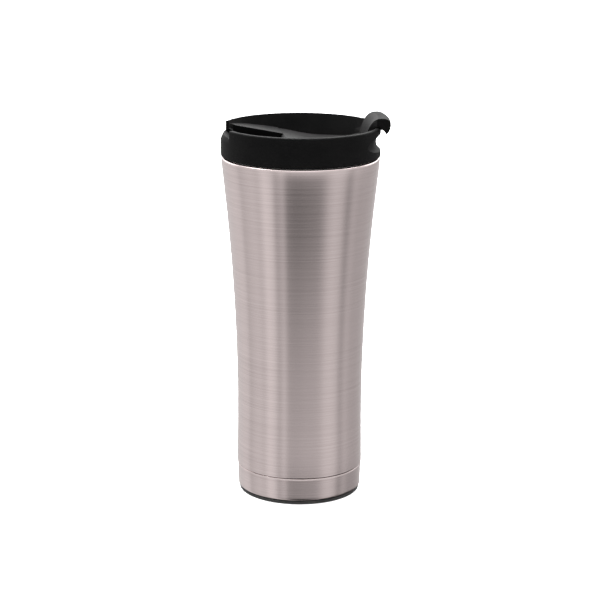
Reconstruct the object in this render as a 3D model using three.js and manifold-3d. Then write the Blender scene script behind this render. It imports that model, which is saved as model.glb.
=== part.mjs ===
// Insulated travel mug: a double-walled steel body with a screw-on lid and a flip-up cover.
// Millimetres, +Z up, origin on the table at the centre of the foot.
// The spout is at -X and the finger tab at +X; the mug is symmetric about the XZ plane.

import * as THREE from "three";
import { mergeVertices } from "three/addons/utils/BufferGeometryUtils.js";
import Module from "manifold-3d";

// ---- Driving dimensions -------------------------------------------------------------------------

const GAP = 0.3; // air left between neighbouring pieces
const ROUND_STEPS = 48; // facets round the mug's axis
const FLARE_STEPS = 7; // facets up the flared wall
const SMALL_STEPS = 24; // facets round pins, stems and small holes

// Steel body
const STEEL = 0.6; // sheet thickness
const VACUUM = 2.6; // space between the two walls
const WAIST_R = 33.25; // narrowest outside radius
const WAIST_Z = 45;
const SEAM_R = 33.54; // outside radius just above the base cup
const SEAM_Z = 14.7; // dark line where the base cup meets the shell
const LIP_R = 41.4; // outside radius under the lid
const LIP_Z = 181.4; // top of the steel lip
const LIP_ROUND = 1.6;
const MOUTH_R = 37.6; // straight bore that takes the lid's thread
const MOUTH_Z = 160; // where the straight bore starts
const LINER_FLOOR_Z = 16;
const LINER_CORNER = 9;
const NECK_R = 32.35; // shell's stepped-in foot, hidden in the base cup
const NECK_Z = 6;
const FOOT_R = 32.2;
const FOOT_H = 1.9;
const RECESS_R = 26.5; // raised middle of the base cup, filled by the foot pad
const RECESS_H = 1.2;
const BOTTOM_Z = 8; // vacuum bottom's flat rim
const BOTTOM_DISH = 1.4; // how far its middle is raised
const BOTTOM_R = 31.2;
const PUMP_HOLE_R = 1.5;
const GETTER = { r: 4, bottom: 11.8, top: 13.2 };
const STRAP = { ends: 10.3, middle: 11.1, thickness: 0.4, halfWidth: 2.5 }; // carries the getter

// Quick thread, three starts, right-handed
const THREAD_STARTS = 3;
const THREAD_LEAD = 15; // rise in one turn
const THREAD_SWEEP = THREE.MathUtils.degToRad(100);
const THREAD_ROOT_W = 2;
const THREAD_CREST_W = 1.2;
const LINER_THREAD = { root: MOUTH_R + 0.3, crest: 36.5, z: 174.2 };
const LID_THREAD = { root: 35.9, crest: 37.3, z: 171.7 };

// Lid ring
const RIM_Z = 197.6; // top of the lid's rim
const RING_R = 41.75;
const RING_BORE = 39.9;
const RING_Z = 182.1; // lower edge of the ring
const RIM_ROUND = 0.7;
const PLASTIC = 1.8; // moulded wall thickness
const DECK_TOP = 184.5; // lid's floor under the cover
const DECK_BOTTOM = 182.9;
const RAMP_Z = 190.9; // ramp's height where it meets the cover
const RAMP_X = -8;
const RAMP_SLOPE = -0.187;

// Spout and drinking trough
const TROUGH_HALF = 14.4;
const SPOUT_CREST_Z = 193.8; // lowest point of the rim that the drink runs over
const SPOUT_DROP = 4.8; // fall of the spout's slope to a millimetre outside the ring
const SPOUT_HALF = 16.6;
const SLOT_X = -19.5; // drink slot in the trough's floor
const SLOT_HALF_LENGTH = 8.5;
const SLOT_HALF_WIDTH = 4.6;
const WELL_X = -18; // tube under the drink slot
const WELL_R = 13;
const VENT_X = 12;
const VENT_R = 1.2;
const VENT_TUBE_R = 2.6;
const VENT_PAD = { r: 2.4, bottom: DECK_TOP + 0.3, top: DECK_TOP + 1.3 }; // closes the vent

// Finger scoop under the tab: part of a wide ring cut out of the lid's outer wall
const SCOOP = { r: 5.7, z: 189.65, axisX: -14.5, ringR: 59.4 };

// Screw-in base of the lid
const SKIRT_R = 36.1;
const SKIRT_WALL = 1.9;
const SKIRT_Z = 165;

// Flip cover and its valve
const PIVOT = { x: -5.2, z: 186.5 };
const COVER = 2; // cover's thickness
const COVER_GAP = 0.5; // between the cover and the ring
const COVER_END_R = 4.8; // round end of the cover, about the pivot
const COVER_END_Z = 187; // lower edge of that round end
const COVER_EDGE_Z = 190.7; // its upper edge
const DISH = { x: 14, z: 187.2 }; // lowest point of the dish
const CLIMB = { x: 35, z: 193 }; // where the dish's far wall meets the ring
const TAB = { rootX: 33.4, rootZ: 191, topX: 42.2, topZ: 202.5, outX: 46.7, tipX: 44.5, tipZ: 194.2 };
const TAB_HALF = 12.5;
const TAB_AXIS_X = -24.4; // the tab bows gently round this upright axis
const PIN_R = 0.9;
const LUG_R = 1.9;
const LUG = { from: 9, to: 12 };
const KNUCKLE_HALF = 8.6;
const PLUG = { top: 182.6, bottom: 180.6, halfLength: 10, halfWidth: 6.5 };
const STEM_R = 2;
const STEM_X = SLOT_X + 0.2;
const HEAD_R = 3.4; // stem's head, which holds the plug on
const ARM = { left: -21.5, top: 188.8, under: 186.6, halfWidth: 2.5 };

const FAR = 60; // reaches past the object on every side

// ---- Solids -------------------------------------------------------------------------------------

const wasm = await Module();
wasm.setup();

const point = (x, y) => new THREE.Vector2(x, y);

// A closed three.js geometry as a manifold solid.
function solid(geometry) {
  const bare = geometry.clone();
  bare.deleteAttribute("normal");
  bare.deleteAttribute("uv");
  const merged = mergeVertices(bare, 1e-4);
  return new wasm.Manifold(
    new wasm.Mesh({
      numProp: 3,
      vertProperties: merged.attributes.position.array,
      triVerts: new Uint32Array(merged.index.array),
    }),
  );
}

// A manifold solid as a geometry with flat-shaded normals.
function geometryOf(body) {
  const mesh = body.getMesh();
  const geometry = new THREE.BufferGeometry();
  geometry.setAttribute("position", new THREE.BufferAttribute(mesh.vertProperties, 3));
  geometry.setIndex(new THREE.BufferAttribute(mesh.triVerts, 1));
  geometry.computeVertexNormals();
  return geometry;
}

// A profile of [radius, z] points turned about the Z axis, then moved sideways to x.
function turned(profile, x = 0, steps = ROUND_STEPS) {
  const area = THREE.ShapeUtils.area(profile);
  const outline = area > 0 ? [...profile] : [...profile].reverse();
  const firstOnAxis = outline.findIndex((p, i) => p.x === 0 && outline.at(i - 1).x === 0);
  if (firstOnAxis >= 0) outline.push(...outline.splice(0, firstOnAxis));
  else outline.push(outline[0].clone());
  const lathe = new THREE.LatheGeometry(outline, steps);
  lathe.rotateX(Math.PI / 2);
  lathe.translate(x, 0, 0);
  return solid(lathe);
}

function cylinder(radius, bottom, top, x = 0, steps = ROUND_STEPS) {
  return turned([point(0, bottom), point(radius, bottom), point(radius, top), point(0, top)], x, steps);
}

function tube(bore, radius, bottom, top, x = 0, steps = ROUND_STEPS) {
  const corners = [point(bore, bottom), point(radius, bottom), point(radius, top), point(bore, top)];
  return turned(corners, x, steps);
}

// An outline in the XZ plane, given a thickness from y = from to y = to.
function slab(shape, from, to, curveSegments = 12) {
  const geometry = new THREE.ExtrudeGeometry(shape, {
    depth: to - from,
    bevelEnabled: false,
    curveSegments,
  });
  geometry.rotateX(Math.PI / 2);
  geometry.translate(0, to, 0);
  return solid(geometry);
}

function block(x0, x1, y0, y1, z0, z1) {
  const geometry = new THREE.BoxGeometry(x1 - x0, y1 - y0, z1 - z0);
  geometry.translate((x0 + x1) / 2, (y0 + y1) / 2, (z0 + z1) / 2);
  return solid(geometry);
}

// A rod along Y at the cover's pivot.
function pivotRod(radius, from, to, steps = SMALL_STEPS) {
  const geometry = new THREE.CylinderGeometry(radius, radius, to - from, steps);
  geometry.translate(PIVOT.x, (from + to) / 2, PIVOT.z);
  return solid(geometry);
}

// A plate with round ends, lying flat and centred on x.
function oval(x, halfLength, halfWidth, bottom, top) {
  const shape = new THREE.Shape();
  const straight = halfLength - halfWidth;
  shape.absarc(x + straight, 0, halfWidth, -Math.PI / 2, Math.PI / 2);
  shape.absarc(x - straight, 0, halfWidth, Math.PI / 2, (3 * Math.PI) / 2);
  const geometry = new THREE.ExtrudeGeometry(shape, {
    depth: top - bottom,
    bevelEnabled: false,
    curveSegments: SMALL_STEPS / 2,
  });
  geometry.translate(0, 0, bottom);
  return solid(geometry);
}

// Sheet metal that follows a line of points: thickened to its left, or to its right when negative.
function sheet(path, thickness) {
  const offset = path.map((p, i) => {
    const before = path[Math.max(i - 1, 0)];
    const after = path[Math.min(i + 1, path.length - 1)];
    const along = after.clone().sub(before).normalize();
    const normal = point(-along.y, along.x).multiplyScalar(thickness);
    return p.x === 0 ? point(0, p.y + normal.y) : p.clone().add(normal);
  });
  return turned([...path, ...offset.reverse()]);
}

// Points on a quarter turn about a centre, from one angle to another in degrees.
function bend(cx, cy, radius, fromDeg, toDeg, steps = 5) {
  const points = [];
  for (let i = 0; i <= steps; i++) {
    const a = THREE.MathUtils.degToRad(fromDeg + ((toDeg - fromDeg) * i) / steps);
    points.push(point(cx + radius * Math.cos(a), cy + radius * Math.sin(a)));
  }
  return points;
}

// One helical ridge whose top end is at height thread.z; it runs down and back from angle start.
function ridge(thread, start) {
  const steps = 14;
  const inward = Math.sign(thread.crest - thread.root);
  const shape = new THREE.Shape();
  const corners = [
    point(0, -THREAD_ROOT_W / 2),
    point(thread.crest - thread.root, -THREAD_CREST_W / 2),
    point(thread.crest - thread.root, THREAD_CREST_W / 2),
    point(0, THREAD_ROOT_W / 2),
  ];
  shape.setFromPoints(inward > 0 ? corners : corners.reverse());
  const geometry = new THREE.ExtrudeGeometry(shape, { depth: THREAD_SWEEP, steps, bevelEnabled: false });
  const at = geometry.attributes.position;
  for (let i = 0; i < at.count; i++) {
    const angle = start - at.getZ(i);
    const radius = thread.root + at.getX(i);
    const z = thread.z + at.getY(i) - (THREAD_LEAD * at.getZ(i)) / (2 * Math.PI);
    at.setXYZ(i, radius * Math.cos(angle), radius * Math.sin(angle), z);
  }
  return solid(geometry);
}

function withThread(body, thread) {
  let threaded = body;
  for (let start = 0; start < THREAD_STARTS; start++) {
    threaded = threaded.add(ridge(thread, (start * 2 * Math.PI) / THREAD_STARTS));
  }
  return threaded;
}

// ---- Steel body ---------------------------------------------------------------------------------

// Outside of the flared wall, from the waist to just under the lip.
const flare = new THREE.CubicBezierCurve(
  point(WAIST_R, WAIST_Z),
  point(WAIST_R, WAIST_Z + 79),
  point(LIP_R + 1, LIP_Z - 2),
  point(LIP_R, LIP_Z - LIP_ROUND),
);

function outerShell() {
  const path = [
    point(NECK_R, NECK_Z),
    point(NECK_R, SEAM_Z - 0.1),
    point(SEAM_R - 0.3, SEAM_Z + 0.2),
    point(SEAM_R, SEAM_Z + 0.6),
    ...flare.getPoints(FLARE_STEPS),
    ...bend(LIP_R - LIP_ROUND, LIP_Z - LIP_ROUND, LIP_ROUND, 30, 70, 2),
  ];
  return sheet(path, STEEL);
}

// The liner's inside: a rounded floor, a wall that follows the shell, and a straight mouth.
function linerPath() {
  const inset = 2 * STEEL + VACUUM;
  const followed = flare.getPoints(FLARE_STEPS).filter((p) => p.y < MOUTH_Z - 10);
  const lowR = WAIST_R - inset;
  return [
    point(0, LINER_FLOOR_Z),
    ...bend(lowR - LINER_CORNER, LINER_FLOOR_Z + LINER_CORNER, LINER_CORNER, -90, 0, 4),
    ...followed.map((p) => point(p.x - inset, p.y)),
    point(MOUTH_R, MOUTH_Z),
    ...bend(MOUTH_R + 1.2, LIP_Z - 1.2, 1.2, 180, 110, 2),
    point(LIP_R - LIP_ROUND - 0.4, LIP_Z),
  ];
}

function innerLiner() {
  const walls = sheet(linerPath(), -STEEL);
  return withThread(walls, LINER_THREAD);
}

// Bright foil round the liner, in the vacuum space, that holds back radiant heat.
function reflectiveFoil() {
  const thickness = 0.25;
  const clear = STEEL + 0.9;
  const band = flare.getPoints(FLARE_STEPS - 2).filter((p) => p.y < 140);
  const path = [point(WAIST_R, LINER_FLOOR_Z + LINER_CORNER), ...band];
  return sheet(path.map((p) => point(p.x - clear, p.y)), thickness);
}

// Dished plate welded inside the shell's foot, with the hole that the air was pumped out of.
function vacuumBottom() {
  const raised = BOTTOM_Z + BOTTOM_DISH;
  const path = [
    point(PUMP_HOLE_R, raised),
    point(9, raised),
    point(11, BOTTOM_Z),
    point(BOTTOM_R, BOTTOM_Z),
    point(BOTTOM_R, NECK_Z),
  ];
  return sheet(path, -STEEL);
}

// Bead of glass under the pump hole.
function sealBead() {
  const top = BOTTOM_Z + BOTTOM_DISH - STEEL - GAP;
  const radius = PUMP_HOLE_R + 0.1;
  const dome = bend(0, top, radius, -70, 0, 3);
  return turned([point(0, top - radius), ...dome, point(0, top)], 0, SMALL_STEPS);
}

function getterPellet() {
  return cylinder(GETTER.r, GETTER.bottom, GETTER.top, 0, SMALL_STEPS);
}

// Strap that holds the getter off the vacuum bottom: raised in the middle, with two low feet.
function getterBracket() {
  const half = [
    point(5, STRAP.middle),
    point(5.5, STRAP.ends),
    point(9, STRAP.ends),
    point(9, STRAP.ends + STRAP.thickness),
    point(5.8, STRAP.ends + STRAP.thickness),
    point(5.3, STRAP.middle + STRAP.thickness),
  ];
  const mirrored = half.map((p) => point(-p.x, p.y)).reverse();
  const shape = new THREE.Shape();
  shape.setFromPoints([...half, ...mirrored]);
  return slab(shape, -STRAP.halfWidth, STRAP.halfWidth);
}

function baseCup() {
  const sole = FOOT_H + GAP;
  const corner = 1.2;
  const path = [
    point(0, sole + RECESS_H),
    point(RECESS_R - 0.6, sole + RECESS_H),
    point(RECESS_R + 0.6, sole),
    ...bend(WAIST_R - 0.3 - corner, sole + corner, corner, -90, 0, 3),
    point(WAIST_R - 0.1, 6),
    point(WAIST_R + 0.1, SEAM_Z - 0.3),
  ];
  return sheet(path, STEEL);
}

function footPad() {
  const corner = 0.9;
  return turned([
    point(0, 0),
    ...bend(FOOT_R - corner, corner, corner, -90, 0, 4),
    point(FOOT_R, FOOT_H),
    point(RECESS_R, FOOT_H),
    point(RECESS_R - 1.2, FOOT_H + RECESS_H - 0.1),
    point(0, FOOT_H + RECESS_H - 0.1),
  ]);
}

// ---- Lid ----------------------------------------------------------------------------------------

const rampZ = (x) => RAMP_Z + RAMP_SLOPE * (x - RAMP_X);

// The wide ring whose inner edge makes the finger scoop, or its clearance when grown.
function scoopRing(grown = 0) {
  const geometry = new THREE.TorusGeometry(SCOOP.ringR, SCOOP.r + grown, SMALL_STEPS, 120);
  geometry.translate(SCOOP.axisX, 0, SCOOP.z);
  return solid(geometry);
}

function lidPuck() {
  return turned([
    point(0, RING_Z),
    point(RING_R - 0.3, RING_Z),
    point(RING_R, RING_Z + 0.3),
    ...bend(RING_R - RIM_ROUND, RIM_Z - RIM_ROUND, RIM_ROUND, 0, 90, 3),
    point(0, RIM_Z),
  ]);
}

// Open space inside the ring: above the ramp on the left, above the floor on the right.
function lidCavity() {
  const endR = COVER_END_R + 0.4;
  const rise = RAMP_Z - PIVOT.z;
  const drop = DECK_TOP - PIVOT.z;
  const shape = new THREE.Shape();
  shape.moveTo(-FAR, rampZ(-FAR));
  shape.absarc(PIVOT.x, PIVOT.z, endR, Math.PI - Math.asin(rise / endR), Math.PI - Math.asin(drop / endR));
  shape.lineTo(FAR, DECK_TOP);
  shape.lineTo(FAR, RIM_Z + 10);
  shape.lineTo(-FAR, RIM_Z + 10);
  const bore = cylinder(RING_BORE, RING_Z, RIM_Z + 10).subtract(scoopRing(PLASTIC));
  return slab(shape, -FAR, FAR).intersect(bore);
}

// Channel that the drink runs along, and the low part of the rim that it runs over.
function troughCut() {
  const crestX = -RING_BORE + 1.4;
  const shape = new THREE.Shape();
  shape.moveTo(crestX, SPOUT_CREST_Z - 0.8);
  shape.lineTo(-30, DECK_TOP + 1);
  shape.quadraticCurveTo(-28.5, DECK_TOP, -27, DECK_TOP);
  shape.lineTo(PIVOT.x, DECK_TOP);
  shape.lineTo(PIVOT.x, RIM_Z + 5);
  shape.lineTo(crestX, RIM_Z + 5);
  const channel = slab(shape, -TROUGH_HALF, TROUGH_HALF);
  const notch = turned([
    point(RING_BORE - 2.5, SPOUT_CREST_Z - 1.5),
    point(RING_BORE, SPOUT_CREST_Z),
    point(RING_R + 1, SPOUT_CREST_Z - SPOUT_DROP),
    point(RING_R + 1, RIM_Z + 5),
    point(RING_BORE - 2.5, RIM_Z + 5),
  ]);
  const window = block(-FAR, -20, -SPOUT_HALF, SPOUT_HALF, DECK_TOP, RIM_Z + 5);
  return channel.add(notch.intersect(window));
}

// Pockets moulded into the underside, so that the ramp is a wall of even thickness.
function corePockets() {
  const right = RAMP_X - 4.6;
  const shape = new THREE.Shape();
  shape.moveTo(-FAR, RING_Z - 1);
  shape.lineTo(right, RING_Z - 1);
  shape.lineTo(right, rampZ(right) - PLASTIC);
  shape.lineTo(-FAR, rampZ(-FAR) - PLASTIC);
  const inner = TROUGH_HALF + PLASTIC;
  const both = slab(shape, -FAR, FAR).subtract(block(-FAR, FAR, -inner, inner, 0, 2 * RIM_Z));
  return both.intersect(cylinder(RING_BORE - PLASTIC, RING_Z - 2, RIM_Z));
}

// Two ears on the lid's floor that carry the hinge pin.
function hingeLugs() {
  const lug = (from, to) => {
    const foot = block(PIVOT.x - LUG_R, PIVOT.x + LUG_R, from, to, DECK_BOTTOM + 0.5, PIVOT.z);
    return foot.add(pivotRod(LUG_R, from, to));
  };
  return lug(LUG.from, LUG.to).add(lug(-LUG.to, -LUG.from));
}

function lidBody() {
  const tubes = tube(WELL_R, WELL_R + 1.6, SKIRT_Z, DECK_BOTTOM + 0.4, WELL_X, 48).add(
    cylinder(VENT_TUBE_R, SKIRT_Z, DECK_BOTTOM + 0.4, VENT_X, SMALL_STEPS),
  );
  return lidPuck()
    .subtract(lidCavity())
    .subtract(troughCut())
    .subtract(corePockets())
    .subtract(cylinder(RING_BORE - 0.1, RING_Z - 1, DECK_BOTTOM))
    .add(tubes)
    .add(hingeLugs())
    .subtract(pivotRod(PIN_R + 0.06, -LUG.to - 1, LUG.to + 1))
    .subtract(oval(SLOT_X, SLOT_HALF_LENGTH, SLOT_HALF_WIDTH, DECK_BOTTOM - 1, DECK_TOP + 1))
    .subtract(cylinder(VENT_R, SKIRT_Z - 1, DECK_TOP + 1, VENT_X, SMALL_STEPS))
    .subtract(scoopRing());
}

// The screw-in cup under the lid, pierced for the drink well and the vent tube.
function lidBase() {
  const inner = SKIRT_R - SKIRT_WALL;
  const cup = turned([
    point(0, SKIRT_Z),
    point(SKIRT_R - 1, SKIRT_Z),
    point(SKIRT_R, SKIRT_Z + 1),
    point(SKIRT_R, DECK_BOTTOM - GAP),
    point(inner, DECK_BOTTOM - GAP),
    point(inner, SKIRT_Z + SKIRT_WALL),
    point(0, SKIRT_Z + SKIRT_WALL),
  ]);
  const pierced = cup
    .subtract(cylinder(WELL_R + 1.6 + GAP, SKIRT_Z - 1, SKIRT_Z + 4, WELL_X, 48))
    .subtract(cylinder(VENT_TUBE_R + GAP, SKIRT_Z - 1, SKIRT_Z + 4, VENT_X, SMALL_STEPS));
  return withThread(pierced, LID_THREAD);
}

function wellSeal() {
  const bore = WELL_R + 1.6 + 0.2;
  const floor = SKIRT_Z + SKIRT_WALL + 0.2;
  return tube(bore, bore + 1, floor, floor + 1.6, WELL_X, 48);
}

// Silicone ring with a sleeve in the mouth and a flange over the steel lip.
function mouthGasket() {
  const bore = SKIRT_R + GAP;
  const sleeve = MOUTH_R - GAP;
  const foot = LIP_Z - 3.2;
  return turned([
    point(bore, foot),
    point(sleeve - 0.4, foot),
    point(sleeve, foot + 0.6),
    point(sleeve, LIP_Z + GAP),
    point(RING_BORE - 0.4, LIP_Z + GAP),
    point(RING_BORE - 0.4, DECK_BOTTOM - GAP),
    point(bore, DECK_BOTTOM - GAP),
  ]);
}

function hingePin() {
  return pivotRod(PIN_R, -LUG.to, LUG.to);
}

// ---- Flip cover ---------------------------------------------------------------------------------

// Upper outline of the cover from its hinged end to the foot of the tab.
function dishTop(shape) {
  shape.bezierCurveTo(-2, 189.8, DISH.x - 9, DISH.z, DISH.x, DISH.z);
  shape.bezierCurveTo(DISH.x + 11, DISH.z, CLIMB.x - 3, DISH.z, CLIMB.x, CLIMB.z);
}

// Cover's section: round hinged end, shallow dish, and a wall that climbs to the rim.
function coverSection() {
  const edgeAngle = Math.asin((COVER_EDGE_Z - PIVOT.z) / COVER_END_R);
  const lowAngle = Math.asin((COVER_END_Z - PIVOT.z) / COVER_END_R);
  const shape = new THREE.Shape();
  shape.moveTo(PIVOT.x - COVER_END_R * Math.cos(edgeAngle), COVER_EDGE_Z);
  dishTop(shape);
  shape.lineTo(CLIMB.x + 3.2, RIM_Z - 0.4);
  shape.lineTo(FAR, RIM_Z - 0.4);
  shape.lineTo(FAR, 189.5);
  shape.lineTo(CLIMB.x, 189.5);
  shape.bezierCurveTo(CLIMB.x - 4, DISH.z - COVER, DISH.x + 11, DISH.z - COVER, DISH.x, DISH.z - COVER);
  shape.bezierCurveTo(DISH.x - 8, DISH.z - COVER, 2, 187.2, -4, 188.6);
  shape.lineTo(PIVOT.x - 0.4 * COVER_END_R, 188.7);
  shape.lineTo(PIVOT.x - 0.68 * COVER_END_R, COVER_END_Z);
  shape.absarc(PIVOT.x, PIVOT.z, COVER_END_R, Math.PI - lowAngle, Math.PI - edgeAngle, true);
  return shape;
}

// Finger tab: it climbs out of the dish, arches over the rim and hooks down outside it.
function fingerTab() {
  const shape = new THREE.Shape();
  shape.moveTo(TAB.rootX, TAB.rootZ);
  shape.bezierCurveTo(TAB.rootX + 1.8, TAB.topZ - 6, TAB.topX - 6.2, TAB.topZ, TAB.topX, TAB.topZ);
  shape.bezierCurveTo(TAB.topX + 3.4, TAB.topZ, TAB.outX, TAB.topZ - 1.5, TAB.outX, TAB.topZ - 3.8);
  shape.bezierCurveTo(TAB.outX, TAB.tipZ + 2.6, TAB.tipX + 1.3, TAB.tipZ + 0.8, TAB.tipX, TAB.tipZ);
  shape.lineTo(TAB.tipX - 1, TAB.tipZ + 1.5);
  shape.lineTo(TAB.tipX - 2, TAB.tipZ + 2.4);
  shape.lineTo(RING_BORE, TAB.tipZ + 2.4);
  shape.lineTo(TAB.rootX + 3, TAB.rootZ);
  const section = shape.getPoints(8).map((p) => point(p.x - TAB_AXIS_X, p.y));
  const hoop = turned(section, TAB_AXIS_X, 120);
  const ringRoom = tube(RING_BORE - COVER_GAP, RING_R + 0.4, RING_Z - 1, RIM_Z + 0.4);
  return hoop.intersect(block(0, FAR, -TAB_HALF, TAB_HALF, RING_Z, TAB.topZ + 1)).subtract(ringRoom);
}

// Lever that reaches down through the drink slot, ending in a headed stem for the plug.
function valveArm() {
  const shape = new THREE.Shape();
  shape.setFromPoints([
    point(PIVOT.x, 189.4),
    point(PIVOT.x - 4, ARM.top),
    point(ARM.left + 1.5, ARM.top - 0.4),
    point(ARM.left, ARM.top - 2),
    point(ARM.left, 185.2),
    point(SLOT_X + 2, 185.2),
    point(SLOT_X + 3.4, ARM.under),
    point(PIVOT.x - 3.5, ARM.under + 0.4),
    point(PIVOT.x, 188.2),
  ]);
  return slab(shape, -ARM.halfWidth, ARM.halfWidth)
    .add(cylinder(STEM_R, PLUG.bottom - GAP - 0.5, ARM.under, STEM_X, SMALL_STEPS))
    .add(cylinder(HEAD_R, PLUG.bottom - GAP - 1.2, PLUG.bottom - GAP, STEM_X, SMALL_STEPS));
}

function flipCover() {
  const plate = slab(coverSection(), -FAR, FAR).intersect(
    cylinder(RING_BORE - COVER_GAP, DECK_TOP, RIM_Z - 0.4),
  );
  const web = block(PIVOT.x - LUG_R, PIVOT.x + LUG_R, -KNUCKLE_HALF, KNUCKLE_HALF, PIVOT.z, 189.2);
  const knuckle = pivotRod(LUG_R, -KNUCKLE_HALF, KNUCKLE_HALF).add(web);
  const lugRoom = pivotRod(LUG_R + 0.35, LUG.from - 0.4, LUG.to + 0.4).add(
    pivotRod(LUG_R + 0.35, -LUG.to - 0.4, -LUG.from + 0.4),
  );
  const scoopRoom = scoopRing(PLASTIC + COVER_GAP).intersect(cylinder(RING_BORE, RING_Z, RIM_Z));
  return plate
    .add(fingerTab())
    .subtract(scoopRoom)
    .add(knuckle)
    .add(valveArm())
    .subtract(lugRoom)
    .subtract(cylinder(VENT_PAD.r + GAP, DECK_TOP, VENT_PAD.top + GAP, VENT_X, SMALL_STEPS))
    .subtract(pivotRod(PIN_R + 0.08, -FAR, FAR));
}

function valvePlug() {
  const hole = cylinder(STEM_R + GAP, PLUG.bottom - 1, PLUG.top + 1, STEM_X, SMALL_STEPS);
  return oval(SLOT_X, PLUG.halfLength, PLUG.halfWidth, PLUG.bottom, PLUG.top).subtract(hole);
}

// Small pad under the cover that closes the vent hole.
function ventPlug() {
  return cylinder(VENT_PAD.r, VENT_PAD.bottom, VENT_PAD.top, VENT_X, SMALL_STEPS);
}

// ---- Assembly -----------------------------------------------------------------------------------

const finish = (color, roughness, metalness) =>
  new THREE.MeshStandardMaterial({ color, roughness, metalness });

const brushedSteel = finish("#b3a69f", 0.34, 1);
const linerSteel = finish("#b9b9b8", 0.3, 1);
const foil = finish("#c9a48c", 0.25, 1);
const glassBead = finish("#5b6a66", 0.15, 0);
const getterMetal = finish("#77777a", 0.6, 1);
const blackPlastic = finish("#1a1a1b", 0.5, 0);
const blackSilicone = finish("#101010", 0.75, 0);
const footRubber = finish("#131313", 0.85, 0);

const PIECES = [
  ["outer_shell", outerShell, brushedSteel],
  ["inner_liner", innerLiner, linerSteel],
  ["reflective_foil", reflectiveFoil, foil],
  ["vacuum_bottom", vacuumBottom, linerSteel],
  ["seal_bead", sealBead, glassBead],
  ["getter_pellet", getterPellet, getterMetal],
  ["getter_bracket", getterBracket, linerSteel],
  ["base_cup", baseCup, brushedSteel],
  ["foot_pad", footPad, footRubber],
  ["mouth_gasket", mouthGasket, blackSilicone],
  ["lid_body", lidBody, blackPlastic],
  ["lid_base", lidBase, blackPlastic],
  ["well_seal", wellSeal, blackSilicone],
  ["hinge_pin", hingePin, linerSteel],
  ["flip_cover", flipCover, blackPlastic],
  ["valve_plug", valvePlug, blackSilicone],
  ["vent_plug", ventPlug, blackSilicone],
];

const mug = new THREE.Group();
mug.name = "travel_mug";
for (const [name, make, material] of PIECES) {
  const mesh = new THREE.Mesh(geometryOf(make()), material);
  mesh.name = name;
  mug.add(mesh);
}

export default mug;
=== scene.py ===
"""Looks of the insulated travel mug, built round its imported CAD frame. Metres, +Z up, spout at -X."""

import math

import bmesh
import bpy
from mathutils import Matrix, Vector


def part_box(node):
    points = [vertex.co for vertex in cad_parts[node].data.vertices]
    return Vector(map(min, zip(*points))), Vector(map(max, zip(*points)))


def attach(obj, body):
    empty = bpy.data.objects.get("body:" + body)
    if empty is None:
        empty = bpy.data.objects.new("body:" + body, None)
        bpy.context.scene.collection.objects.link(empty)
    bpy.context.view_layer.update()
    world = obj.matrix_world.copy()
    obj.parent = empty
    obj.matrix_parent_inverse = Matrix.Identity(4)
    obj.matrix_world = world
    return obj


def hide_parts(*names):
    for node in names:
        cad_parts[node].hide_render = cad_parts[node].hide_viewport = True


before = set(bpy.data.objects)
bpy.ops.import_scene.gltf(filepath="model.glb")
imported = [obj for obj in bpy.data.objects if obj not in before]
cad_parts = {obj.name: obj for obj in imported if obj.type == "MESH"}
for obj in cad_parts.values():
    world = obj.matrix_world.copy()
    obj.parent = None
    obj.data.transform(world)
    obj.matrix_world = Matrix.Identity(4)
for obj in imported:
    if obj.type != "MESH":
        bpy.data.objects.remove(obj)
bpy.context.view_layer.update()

MM = 0.001

# ---- Places, worked out from the frame ----------------------------------------------------------

shell_low, shell_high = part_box("outer_shell")
cup_low, cup_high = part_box("base_cup")
foot_low, foot_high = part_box("foot_pad")
lid_low, lid_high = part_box("lid_body")
gasket_low, gasket_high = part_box("mouth_gasket")
pin_low, pin_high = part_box("hinge_pin")
cover_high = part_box("flip_cover")[1]
plug_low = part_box("valve_plug")[0]

LIP_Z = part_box("inner_liner")[1].z
LIP_R = shell_high.y
SEAM_Z = cup_high.z + 0.3 * MM
RIM_Z = lid_high.z
RING_R = lid_high.y
RING_BORE = RING_R - 1.85 * MM
RING_Z = gasket_high.z - 0.5 * MM
DECK_TOP = gasket_high.z + 1.9 * MM
DECK_BOTTOM = gasket_high.z + 0.3 * MM
OPEN_Z = RIM_Z + 10 * MM  # top of the cutters that open upwards
PIVOT = (pin_low + pin_high) / 2
PIN_R = (pin_high.z - pin_low.z) / 2
LUG_R = PIN_R + MM
LUG = (9 * MM, 12 * MM)  # from and to, on each side of the middle
KNUCKLE_HALF = 8.6 * MM
SKIRT_Z = lid_low.z
WELL_X = -18 * MM
WELL_BORE = 13 * MM
WELL_TUBE = 14.6 * MM
SLOT_X = -19.5 * MM
SLOT_HALF_LENGTH = 8.5 * MM
SLOT_HALF_WIDTH = 4.6 * MM
VENT_X = 12 * MM
VENT_TUBE_R = 2.6 * MM
VENT_BORE_R = 1.2 * MM
VENT_PAD_ROOM_R = 2.7 * MM
TAB_TOP = cover_high.z
TAB_OUT = cover_high.x
TAB_HALF = 12.5 * MM
TAB_AXIS_X = -24.4 * MM  # the tab bows gently round this upright axis
TROUGH_HALF = 14.4 * MM
SPOUT_HALF = 16.6 * MM
COVER_GAP = 0.5 * MM  # between the cover and the ring
TAB_GAP = 0.4 * MM  # between the tab and the rim

# ---- Sizes of the finish ------------------------------------------------------------------------

ROUND_STEPS = 224
FAR = 60 * MM
STEEL = 0.6 * MM
PLASTIC = 1.8 * MM
EDGE = 0.35 * MM  # rounding of the moulded edges
CROWN = 1.1 * MM  # how far the lid's top falls from the middle to the sides


# ---- Mesh tools ---------------------------------------------------------------------------------

def new_object(name, mesh):
    piece = bpy.data.objects.new(name, mesh)
    bpy.context.scene.collection.objects.link(piece)
    return piece


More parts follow.
